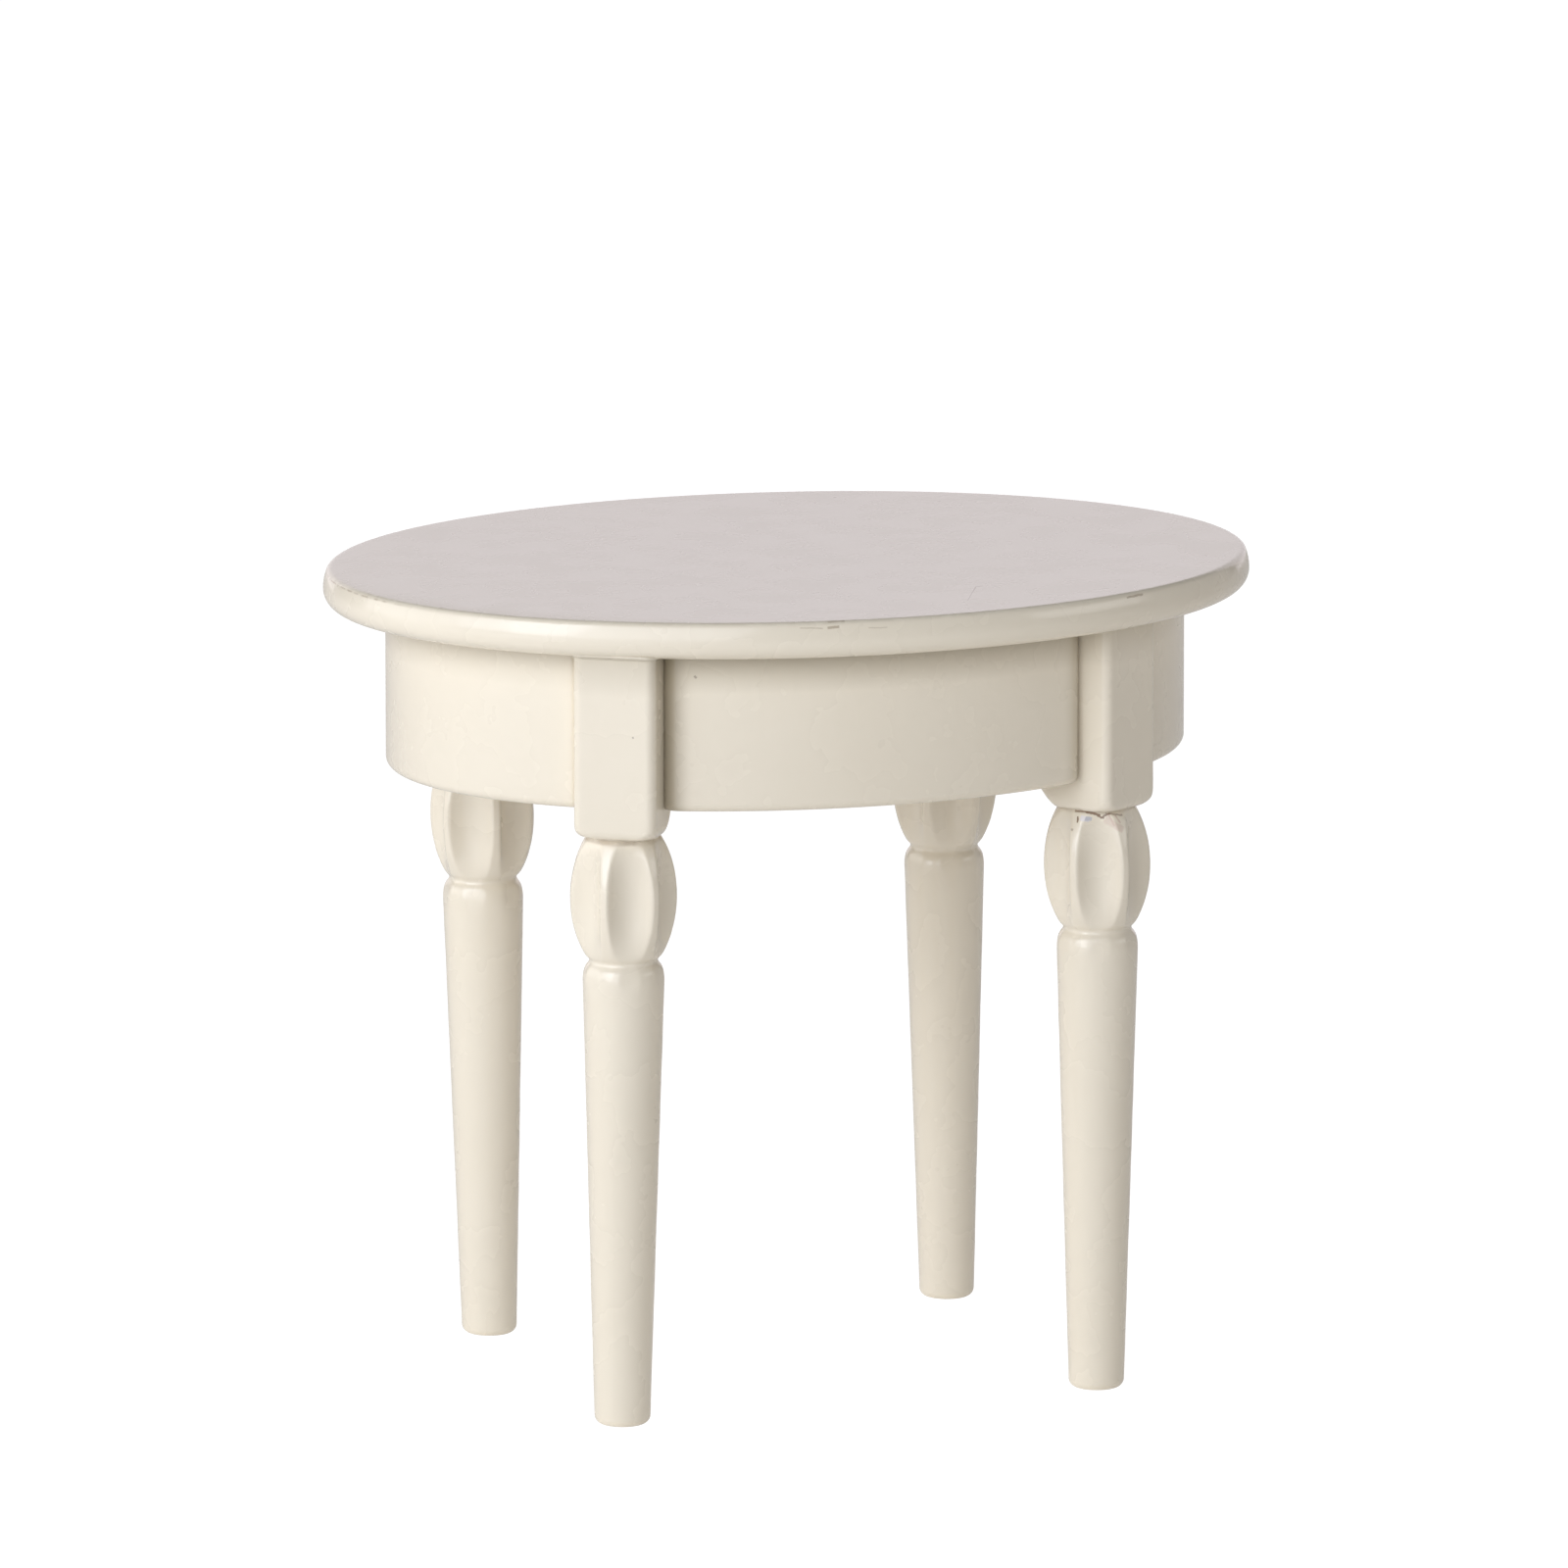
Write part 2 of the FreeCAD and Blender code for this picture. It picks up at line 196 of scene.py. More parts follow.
def joined_rings(rings):
    """Points and faces of a closed shell: rings joined one to the next, the first and last one capped."""
    count = len(rings[0])
    points = [p for ring in rings for p in ring]
    faces = []
    for level in range(len(rings) - 1):
        for i in range(count):
            j = (i + 1) % count
            low, high = level * count, (level + 1) * count
            faces.append((low + i, low + j, high + j, high + i))
    last = (len(rings) - 1) * count
    bottom = len(points)
    points.append(sum(rings[0], Vector()) / count)
    top = len(points)
    points.append(sum(rings[-1], Vector()) / count)
    faces += [(bottom, (i + 1) % count, i) for i in range(count)]
    faces += [(top, last + i, last + (i + 1) % count) for i in range(count)]
    return points, faces


def oval_ring(inset, height):
    """Ring on the oval top, a distance in from its edge, sunk a little where its left end is worn."""
    half_length, half_width = TOP_HIGH.x - inset, TOP_HIGH.y - inset
    widest = UNDERSIDE + RIM_UNDER_RADIUS
    sunk = WORN_EDGE_DROP * max(1 - inset / WORN_EDGE_REACH, 0.0) ** 2
    sunk *= max(height - widest, 0.0) / (TABLE_HEIGHT - widest)
    ring = []
    for i in range(OVAL_STEPS):
        angle = 2 * math.pi * i / OVAL_STEPS
        worn = max(math.cos(angle - WORN_EDGE_BEARING), 0.0) ** WORN_EDGE_SHARPNESS
        point = Vector((half_length * math.cos(angle), half_width * math.sin(angle), height - sunk * worn))
        ring.append(Matrix.Rotation(TOP_TURN, 3, "Z") @ point + TOP_SHIFT)
    return ring


def quarter(steps):
    """Angles from nought to a right angle."""
    return [math.pi / 2 * i / steps for i in range(steps + 1)]


def quarter_inset(rise, depth, reach):
    """How far in a quarter-round of a depth stands, at a distance up from its inner edge."""
    if rise >= reach:
        return 0.0
    share = 1 - max(rise, 0.0) / reach
    return depth * (1 - math.sqrt(1 - share * share))


def lump(point):
    """Height of the thick enamel's gentle unevenness at a point."""
    return LUMP_HEIGHT * noise.noise(point / LUMP_SIZE)


def taper(rise, depth, reach):
    """How far in an even taper of a depth stands, at a distance up from its inner edge."""
    return depth * max(1 - rise / reach, 0.0)


def box_centre(name):
    """Middle of a CAD node's box, at floor level."""
    low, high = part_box(name)
    return Vector(((low.x + high.x) / 2, (low.y + high.y) / 2, 0))


CENTRES = {corner: box_centre("leg_" + corner) for corner in CORNERS}


def block_bearing(corner):
    """Turn that points a block's -Y face square out of the oval at its corner."""
    side_x, side_y = CORNERS[corner]["side"]
    turn = BLOCK_TURN * side_x
    return turn if side_y < 0 else math.pi - turn


# ---------------------------------------------------------------- shapes

def make_tabletop(material):
    """Oval top: flat underside, rounded lower rim, crowned band, small arris, flat upper face."""
    rings = [oval_ring(inset * MM, UNDERSIDE) for inset in UNDERSIDE_RING_INSETS]
    for a in quarter(RIM_STEPS):
        rings.append(oval_ring(RIM_UNDER_RADIUS * (1 - math.sin(a)),
                               UNDERSIDE + RIM_UNDER_RADIUS * (1 - math.cos(a))))
    widest = UNDERSIDE + RIM_UNDER_RADIUS
    crown_top = TABLE_HEIGHT - ARRIS_RADIUS * (1 - math.sin(CROWN_TILT))
    crown_radius = (crown_top - widest) / math.sin(CROWN_TILT)
    for i in range(1, CROWN_STEPS + 1):
        tilt = CROWN_TILT * i / CROWN_STEPS
        rings.append(oval_ring(crown_radius * (1 - math.cos(tilt)), widest + crown_radius * math.sin(tilt)))
    crown_inset = crown_radius * (1 - math.cos(CROWN_TILT))
    for i in range(1, ARRIS_STEPS + 1):
        tilt = CROWN_TILT + (math.pi / 2 - CROWN_TILT) * i / ARRIS_STEPS
        rings.append(oval_ring(crown_inset + ARRIS_RADIUS * (math.cos(CROWN_TILT) - math.cos(tilt)),
                               TABLE_HEIGHT - ARRIS_RADIUS * (1 - math.sin(tilt))))
    rings += [oval_ring(inset * MM, TABLE_HEIGHT) for inset in UPPER_FACE_RING_INSETS]
    points, faces = joined_rings(rings)
    add_piece("oval_top", points, faces, material, ["tabletop"])


def side_gap(point, corner):
    """Distance from a point to the nearer side face of a block, negative inside the block."""
    turn = Matrix.Rotation(-block_bearing(corner), 3, "Z")
    local = turn @ (point - CENTRES[corner])
    left, right = CORNERS[corner]["faces"][:2]
    return max(local.x - right * MM, -local.x - left * MM)


def rail_angles(direction, corners):
    """Angles round the oval that a rail covers, ending just inside the blocks at its ends."""
    middle = math.atan2(direction[1], direction[0])
    step = 2 * math.pi / RAIL_END_SEARCH_STEPS

    def end(sign):
        angle = middle
        while True:
            point = Vector((APRON_HALF_LENGTH * math.cos(angle), APRON_HALF_WIDTH * math.sin(angle), 0))
            if min(side_gap(point, c) for c in corners) < -RAIL_END_IN_BLOCK:
                return angle
            angle += sign * step
    return end(-1), end(1)


def rail_section(end_inset):
    """Section of a rail as (inset, height) pairs, up its outer face and down its inner one."""
    section = []
    for a in quarter(RAIL_EDGE_STEPS):
        section.append((end_inset + APRON_EDGE_RADIUS * (1 - math.sin(a)),
                        APRON_BOTTOM + APRON_EDGE_RADIUS * (1 - math.cos(a))))
    straight_low = APRON_BOTTOM + APRON_EDGE_RADIUS
    straight_high = UNDERSIDE - TOP_COVE_RADIUS
    for i in range(1, RAIL_FACE_STEPS):
        section.append((end_inset, straight_low + (straight_high - straight_low) * i / RAIL_FACE_STEPS))
    for i in range(COVE_STEPS + 1):
        rise = TOP_COVE_RADIUS * i / COVE_STEPS
        flare = quarter_inset(TOP_COVE_RADIUS - rise, TOP_COVE_RADIUS, TOP_COVE_RADIUS)
        section.append((end_inset - flare, UNDERSIDE - TOP_COVE_RADIUS + rise))
    inner = APRON_WALL + end_inset
    section.append((inner, UNDERSIDE))
    section.append((inner, (UNDERSIDE + APRON_BOTTOM) / 2))
    for a in quarter(RAIL_INNER_EDGE_STEPS):
        section.append((inner - APRON_INNER_EDGE_RADIUS * (1 - math.cos(a)),
                        APRON_BOTTOM + APRON_INNER_EDGE_RADIUS * (1 - math.sin(a))))
    return section


def lug_shape(direction):
    """Points and faces of the screw lug inside a rail, a block with its exposed edges rounded."""
    reach = APRON_HALF_LENGTH if direction[0] else APRON_HALF_WIDTH
    outward = Vector((direction[0], direction[1], 0))
    across = UP.cross(outward)
    face = outward * (reach - APRON_WALL - LUG_DEPTH)
    root = LUG_DEPTH + APRON_WALL / 2
    rings = []
    for a in quarter(LUG_EDGE_STEPS):
        inset = LUG_EDGE_RADIUS * (1 - math.sin(a))
        height = UNDERSIDE - LUG_HEIGHT + LUG_EDGE_RADIUS * (1 - math.cos(a))
        rings.append(lug_ring(face, outward, across, root, inset, height))
    rings.append(lug_ring(face, outward, across, root, 0.0, UNDERSIDE))
    return joined_rings(rings)


def lug_ring(face, outward, across, root, inset, height):
    """One level outline of a lug, with its two inward corners rounded."""
    half = LUG_WIDTH / 2 - inset
    ring = []
    bends = quarter(LUG_EDGE_STEPS)
    for side, turns in ((1, bends), (-1, bends[::-1])):
        for a in turns:
            sideways = side * (half - LUG_EDGE_RADIUS + LUG_EDGE_RADIUS * math.cos(a))
            inward = inset + LUG_EDGE_RADIUS * (1 - math.sin(a))
            ring.append(face + across * sideways + outward * inward + UP * height)
    ring.append(face - across * half + outward * root + UP * height)
    ring.append(face + across * half + outward * root + UP * height)
    return ring[::-1] if is_clockwise(ring) else ring


def is_clockwise(ring):
    turned = sum(a.x * b.y - b.x * a.y for a, b in zip(ring, ring[1:] + ring[:1]))
    return turned < 0


def make_rail(name, direction, material):
    """Curved apron rail whose outer face rounds in to its joint with the block at each end."""
    corners = [c for c, place in CORNERS.items()
               if place["side"][0] == direction[0] or place["side"][1] == direction[1]]
    end_width = LONG_RAIL_END_WIDTH if direction[1] else SHORT_RAIL_END_WIDTH
    first, last = rail_angles(direction, corners)
    rings = []
    for i in range(RAIL_COLUMNS + 1):
        spread = (1 - math.cos(math.pi * i / RAIL_COLUMNS)) / 2
        angle = first + (last - first) * spread
        on_oval = Vector((APRON_HALF_LENGTH * math.cos(angle), APRON_HALF_WIDTH * math.sin(angle), 0))
        normal = Vector((math.cos(angle) / APRON_HALF_LENGTH, math.sin(angle) / APRON_HALF_WIDTH, 0))
        normal.normalize()
        gap = min(side_gap(on_oval, c) for c in corners)
        end_inset = quarter_inset(gap, RAIL_END_DEPTH, end_width)
        rings.append([on_oval - normal * inset + UP * height for inset, height in rail_section(end_inset)])
    points, faces = joined_rings(rings)
    lug_points, lug_faces = lug_shape(direction)
    faces += [tuple(i + len(points) for i in f) for f in lug_faces]
    points += lug_points
    add_piece(name.replace("apron", "rail"), points, faces, material, [name])


def block_outline(corner, height):
    """Level outline of a block on the Z axis, anticlockwise: a rectangle with rounded corners."""
    place = CORNERS[corner]
    rise = height - BLOCK_BOTTOM - place["lift"] * MM
    flare = quarter_inset(UNDERSIDE - height, TOP_COVE_RADIUS, TOP_COVE_RADIUS)
    undercut = UNDERCUT_SLOPE * max(-rise, 0.0)
    left, right, front, back = (face * MM + flare - undercut for face in place["faces"])
    side_in = quarter_inset(rise, *SIDE_DRAW_IN)
    front -= quarter_inset(rise, *FRONT_DRAW_IN)
    rise = max(rise, 0.0)
    back_radius, taper_height = (size * MM for size in place["back"])
    back -= taper(rise, BACK_DRAW_IN, taper_height)
    front_round = BLOCK_EDGE_RADIUS + flare + quarter_inset(rise, *FRONT_CORNER_GROWTH) - undercut
    back_round = back_radius + flare + taper(rise, BACK_CORNER_GROWTH, taper_height) - undercut
    corners = ((right - side_in, -front, front_round), (right - side_in, back, back_round),
               (side_in - left, back, back_round), (side_in - left, -front, front_round))
    outline = []
    for index, (x, y, rounding) in enumerate(corners):
        for a in quarter(BLOCK_CORNER_STEPS):
            bearing = a + math.pi / 2 * (index - 1)
            outline.append(Vector((x - math.copysign(rounding, x) + rounding * math.cos(bearing),
                                   y - math.copysign(rounding, y) + rounding * math.sin(bearing), height)))
    return subdivided(outline, BLOCK_CORNER_STEPS + 1, BLOCK_SIDE_STEPS)


def subdivided(outline, corner_points, steps):
    """Outline of rounded corners with its straight sides divided into steps."""
    ring = []
    for i, point in enumerate(outline):
        ring.append(point)
        if i % corner_points == corner_points - 1:
            following = outline[(i + 1) % len(outline)]
            ring += [point.lerp(following, k / steps) for k in range(1, steps)]
    return ring


def make_block(corner, material):
    """Corner block with rounded uprights, its lower end drawn in to the waist."""
    rises = [SHOULDER_HEIGHT * (i / SHOULDER_STEPS) ** 2 for i in range(SHOULDER_STEPS + 1)]
    heights = [BLOCK_BOTTOM + rise for rise in rises]
    straight_low, straight_high = heights[-1], UNDERSIDE - TOP_COVE_RADIUS
    heights += [straight_low + (straight_high - straight_low) * i / BLOCK_WALL_STEPS
                for i in range(1, BLOCK_WALL_STEPS)]
    heights += [straight_high + TOP_COVE_RADIUS * i / COVE_STEPS for i in range(COVE_STEPS + 1)]
    heights.append(UNDERSIDE + BLOCK_LET_IN)
    centre = CENTRES[corner]
    turn = Matrix.Rotation(block_bearing(corner), 3, "Z")
    rings = []
    for height in heights:
        ring = []
        for point in block_outline(corner, height):
            outward = point.xy.to_3d().normalized()
            ring.append(centre + turn @ (point + outward * lump(centre + point)))
        rings.append(ring)
    points, faces = joined_rings(rings)
    add_piece("block_" + corner, points, faces, material, ["corner_block_" + corner])


def bulb_radius(height):
    """Radius of the bulb's egg shape at a height."""
    rise = (height - BULB_CENTRE) / BULB_HALF_HEIGHT
    return BULB_RADIUS * math.sqrt(max(1 - rise * rise, 0.0))


def lathe_radius(height):
    """Radius of the turned leg before its flutes are scooped."""
    if height < FOOT_EDGE_RADIUS:
        return FOOT_RADIUS - quarter_inset(height, FOOT_EDGE_RADIUS, FOOT_EDGE_RADIUS)
    share = min((height - FOOT_EDGE_RADIUS) / (SHAFT_TOP - FOOT_EDGE_RADIUS), 1.0)
    shaft = FOOT_RADIUS + (SHAFT_TOP_RADIUS - FOOT_RADIUS) * share
    shaft -= quarter_inset(SHAFT_TOP + COLLAR_HEIGHT - height, COLLAR_DROP, COLLAR_HEIGHT)
    joined = -smooth_min(-shaft, -bulb_radius(height), NECK_SOFTNESS)
    off_neck = (height - NECK_Z) / NECK_GROOVE_HEIGHT
    return joined - NECK_GROOVE * math.exp(-off_neck * off_neck)


def flute_radius(height, angle_off):
    """Distance from the leg's axis to the scooped surface of the flute at an angle to its middle."""
    sag = FLUTE_SWEEP_RADIUS - math.sqrt(FLUTE_SWEEP_RADIUS ** 2 - (height - BULB_CENTRE) ** 2)
    centre = FLUTE_FLOOR_RADIUS + sag + FLUTE_SECTION_RADIUS
    inside = FLUTE_SECTION_RADIUS ** 2 - (centre * math.sin(angle_off)) ** 2
    if inside <= 0:
        return 2 * BULB_RADIUS
    return centre * math.cos(angle_off) - math.sqrt(inside)


def leg_radius(height, angle):
    """Radius of the finished leg, at an angle from the middle of a ridge."""
    radius = lathe_radius(height)
    if abs(height - BULB_CENTRE) > BULB_HALF_HEIGHT:
        return radius
    pitch = 2 * math.pi / FLUTE_COUNT
    off = abs(angle % pitch - pitch / 2)
    scooped = smooth_min(flute_radius(height, off), flute_radius(height, pitch - off), FLUTE_SOFTNESS)
    return smooth_min(radius, scooped, FLUTE_SOFTNESS)


def leg_heights():
    """Levels of a leg's rings, close together where its outline turns."""
    levels = [FOOT_EDGE_RADIUS * (1 - math.cos(a)) for a in quarter(FOOT_EDGE_STEPS)]
    levels += [FOOT_EDGE_RADIUS + (SHAFT_TOP - FOOT_EDGE_RADIUS) * i / SHAFT_STEPS
               for i in range(1, SHAFT_STEPS + 1)]
    levels += [SHAFT_TOP + (BULB_TOP - SHAFT_TOP) * i / BULB_STEPS for i in range(1, BULB_STEPS + 1)]
    return levels


def make_leg(corner, radii, material):
    """Turned leg with a fluted bulb, a neck, a collar and a tapered shaft, from its radii at each level."""
    centre = CENTRES[corner]
    place = CORNERS[corner]
    turn = math.radians(place["ridge"]) - math.pi / 2
    foot_off = Vector(place["foot_off"]).to_3d() * MM
    neck_off = Vector(place["neck_off"]).to_3d() * MM
    head_off = Vector(place["head_off"]).to_3d() * MM
    rings = []
    for height, level in radii.items():
        if height < NECK_Z:
            lean = foot_off.lerp(neck_off, height / NECK_Z)
        else:
            lean = neck_off.lerp(head_off, (height - NECK_Z) / (BLOCK_BOTTOM - NECK_Z))
        ring = []
        for i, radius in enumerate(level):
            bearing = 2 * math.pi * i / RING_STEPS + turn
            outward = Vector((math.cos(bearing), math.sin(bearing), 0))
            surface = centre + lean + outward * radius + UP * height
            ring.append(surface + outward * lump(surface))
        rings.append(ring)
    points, faces = joined_rings(rings)
    add_piece("turned_leg_" + corner, points, faces, material, ["leg_" + corner])


# ---------------------------------------------------------------- materials

class Nodes:
    """Short ways to add shader nodes to one material and wire them."""

    def __init__(self, name):
        self.material = bpy.data.materials.new(name)
        self.material.use_nodes = True
        self.tree = self.material.node_tree
        self.shader = self.tree.nodes["Principled BSDF"]
        self.place = self.add("ShaderNodeTexCoord").outputs["Object"]

    def add(self, kind, **settings):
        node = self.tree.nodes.new(kind)
        for key, value in settings.items():
            setattr(node, key, value)
        return node

    def wire(self, source, socket):
        if isinstance(source, (int, float, tuple)):
            socket.default_value = source
        else:
            self.tree.links.new(source, socket)

    def noise(self, size, detail=2.0, roughness=0.5, shift=0.0):
        """Noise with features of a size in metres, from 0 to 1."""
        node = self.add("ShaderNodeTexNoise")
        node.inputs["Scale"].default_value = 1 / size
        node.inputs["Detail"].default_value = detail
        node.inputs["Roughness"].default_value = roughness
        place = self.place
        if shift:
            move = self.add("ShaderNodeVectorMath", operation="ADD")
            self.wire(self.place, move.inputs[0])
            move.inputs[1].default_value = (shift, shift, shift)
            place = move.outputs[0]
        self.wire(place, node.inputs["Vector"])
        return node.outputs["Fac"]

    def ranged(self, value, low, high, to_low=0.0, to_high=1.0, smooth=True):
        """Value mapped from one range to another and held within it."""
        node = self.add("ShaderNodeMapRange")
        node.interpolation_type = "SMOOTHSTEP" if smooth else "LINEAR"
        self.wire(value, node.inputs["Value"])
        node.inputs["From Min"].default_value = low
        node.inputs["From Max"].default_value = high
        node.inputs["To Min"].default_value = to_low
        node.inputs["To Max"].default_value = to_high
        return node.outputs["Result"]

    def math(self, operation, a, b=0.0):
        node = self.add("ShaderNodeMath", operation=operation)
        self.wire(a, node.inputs[0])
        self.wire(b, node.inputs[1])
        return node.outputs[0]

    def offset(self, point, direction):
        """Distance of the surface from a point, measured along a direction."""
        move = self.add("ShaderNodeVectorMath", operation="SUBTRACT")
        self.wire(self.place, move.inputs[0])
        move.inputs[1].default_value = tuple(point)
        along = self.add("ShaderNodeVectorMath", operation="DOT_PRODUCT")
        self.wire(move.outputs[0], along.inputs[0])
        along.inputs[1].default_value = tuple(direction)
        return along.outputs["Value"]

    def stroke(self, start, end, width, outward, ragged=0.0):
        """Mask of a stroke between two points (mm) on the side of a piece that faces outward."""
        start, end, outward = (Vector(v) for v in (start, end, outward))
        outward.normalize()
        along = (end - start).normalized()
        across = outward.cross(along).normalized()
        middle = (start + end) / 2 * MM
        half = (end - start).length / 2 * MM + width * MM / 4
        wobble = self.math("MULTIPLY", self.math("SUBTRACT", self.noise(0.5 * MM, 3.0, shift=0.11), 0.5),
                           ragged * MM)
        aside = self.math("ABSOLUTE", self.math("ADD", self.offset(middle, across), wobble))
        beyond = self.math("ABSOLUTE", self.offset(middle, along))
        mask = self.math("MULTIPLY", self.ranged(aside, 0.25 * width * MM, 0.5 * width * MM, 1.0, 0.0),
                         self.ranged(beyond, half * 0.9, half * 1.05, 1.0, 0.0))
        facing = self.ranged(self.offset(middle, outward), -2.0 * MM, -1.8 * MM)
        return self.math("MULTIPLY", mask, facing)

    def stained(self, mask, strength, colour):
        """Mixes a colour into the base colour where a mask is."""
        self.colour = self.mixed(self.math("MULTIPLY", mask, strength), self.colour, colour)

    def mixed(self, share, a, b):
        """Colour a turning into colour b as share goes from 0 to 1."""
        node = self.add("ShaderNodeMix", data_type="RGBA")
        self.wire(share, node.inputs["Factor"])
        self.wire(a, node.inputs["A"])
        self.wire(b, node.inputs["B"])
        return node.outputs["Result"]


CREAM_LIGHT = (0.86, 0.79, 0.66, 1.0)
CREAM_DEEP = (0.855, 0.783, 0.65, 1.0)
GRIME = (0.36, 0.27, 0.18, 1.0)
SPECK = (0.20, 0.15, 0.11, 1.0)
BARE_METAL = (0.56, 0.57, 0.62, 1.0)
# colour of the painted shade at the rail joints, on a block's side and under the top
JOINT_SHADE = (0.34, 0.29, 0.2, 1.0)
METAL_EDGE = (0.80, 0.77, 0.80, 1.0)
CRACK = (0.26, 0.17, 0.11, 1.0)
SCUFF = (0.62, 0.46, 0.38, 1.0)
STEEL_BRIGHT = (0.62, 0.62, 0.64, 1.0)
STEEL_TARNISHED = (0.45, 0.43, 0.41, 1.0)

TONE_PATCH_SIZE = 14 * MM
SPECK_SPACING = 3.5 * MM
SPECK_RARITY = 0.88
SPECK_STRENGTH = 0.45
GLOSS_PATCH_SIZE = 5 * MM
ENAMEL_ROUGHNESS = (0.25, 0.29)
ENAMEL_IOR = 1.5
PEEL_SIZE = 1.3 * MM
PEEL_HEIGHT = 0.02 * MM
PEEL_STRENGTH = 0.35
COAT_WEIGHT = 0.6
COAT_ROUGHNESS = 0.1

# Painted shade on the enamel, which darkens its colour: rail ends by each front block, a block's side,
# under the overhang
RAIL_PAINTED_SHADE = {"front_left": 0.75, "front_right": 0.45}
RAIL_PAINTED_SHADE_REACH = (0.5 * MM, 2.8 * MM)
CHEEK_PAINTED_SHADE = 0.15
CHEEK_PAINTED_SHADE_START = (0.9 * MM, 1.5 * MM)
OVERHANG_PAINTED_SHADE = 0.42
FRONT_OVERHANG_PAINTED_SHADE = 0.75
OVERHANG_PAINTED_SHADE_DEPTH = 3.6 * MM

# Wear along the arris of the top: how strong, and between which distances from the middle it comes in
WORN_END_STRENGTH = 0.6
WORN_END_START = (39.0 * MM, 41.5 * MM)
FRONT_LEFT_WEAR_STRENGTH = 0.08
FRONT_LEFT_WEAR_END = (8.0 * MM, 14.0 * MM)
SEAM_STRENGTH = 0.5

# Marks on the table (mm): start, end, width, which way the surface faces, strength
FRONT_LEFTWARDS = (-0.55, -0.83, 0)
TOP_MARKS = (
    ((12.2, -19.1, 75.0), (11.5, -19.3, 75.0), 0.2, (0, 0, 1), 0.8),
    ((11.5, -19.3, 75.0), (10.4, -21.5, 75.0), 0.17, (0, 0, 1), 0.75),
    ((10.4, -21.5, 75.0), (8.5, -25.4, 75.0), 0.13, (0, 0, 1), 0.5),
    ((-9.3, -30.42, 74.5), (-7.3, -30.82, 74.42), 0.16, (-0.1, -1, 0.3), 0.35),
    ((-6.8, -30.9, 74.46), (-5.85, -31.0, 74.5), 0.3, (-0.1, -1, 0.3), 0.6),
    ((-3.1, -31.4, 74.3), (-1.4, -31.5, 74.27), 0.14, (-0.1, -1, 0.3), 0.3),
    ((-6.7, -30.6, 74.93), (-5.2, -30.7, 74.95), 0.24, (-0.1, -1, 0.3), 0.4),
    ((23.8, -27.9, 74.95), (25.6, -26.9, 74.95), 0.25, (0.6, -0.8, 0.3), 0.6),
)
FRONT_RAIL_MARKS = (
    ((-17.35, -24.7, 69.55), (-17.25, -24.75, 69.45), 0.3, (-0.4, -0.9, 0), 0.55, SPECK),
)
FRONT_LEFT_BLOCK_MARKS = (
    ((-23.3, -24.76, 64.3), (-23.26, -24.78, 64.32), 0.22, FRONT_LEFTWARDS, 0.5, SPECK),
)
FRONT_RIGHT_SEAM_MARKS = (
    ((19.7, -22.6, 54.25), (20.7, -23.5, 54.2), 0.22, (-0.7, -0.7, 0), 0.8, CRACK),
    ((20.6, -23.4, 54.2), (21.7, -24.0, 53.95), 0.26, (-0.5, -0.85, 0), 0.9, CRACK),
    ((21.6, -24.0, 53.95), (22.1, -24.2, 53.75), 0.26, (-0.2, -1, 0), 0.85, CRACK),
    ((22.0, -24.2, 53.75), (22.8, -24.3, 54.1), 0.24, (-0.2, -1, 0), 0.85, CRACK),
    ((22.7, -24.3, 54.1), (24.2, -24.1, 53.85), 0.22, (0.1, -1, 0), 0.6, CRACK),
)
FRONT_RIGHT_LEG_MARKS = FRONT_RIGHT_SEAM_MARKS + (
    ((20.01, -23.32, 53.72), (20.36, -23.72, 53.62), 0.62, (-0.6, -0.8, 0), 0.85, METAL_EDGE),
    ((20.36, -23.72, 53.66), (20.61, -23.92, 53.6), 0.5, (-0.6, -0.8, 0), 0.85, BARE_METAL),
    ((19.48, -23.32, 53.98), (19.44, -23.42, 53.5), 0.2, (-0.7, -0.7, 0), 0.95, CRACK),
    ((22.7, -24.7, 53.5), (23.9, -24.6, 52.7), 0.8, (0.1, -1, 0), 0.45, SCUFF),
    ((22.9, -24.7, 53.9), (23.3, -24.6, 53.0), 0.2, (0.1, -1, 0), 0.65, SCUFF),
    ((23.5, -24.7, 53.9), (23.9, -24.6, 53.2), 0.18, (0.1, -1, 0), 0.6, SCUFF),
    ((19.2, -22.9, 52.6), (19.3, -23.0, 52.55), 0.3, (-0.8, -0.6, 0), 0.6, GRIME),
)


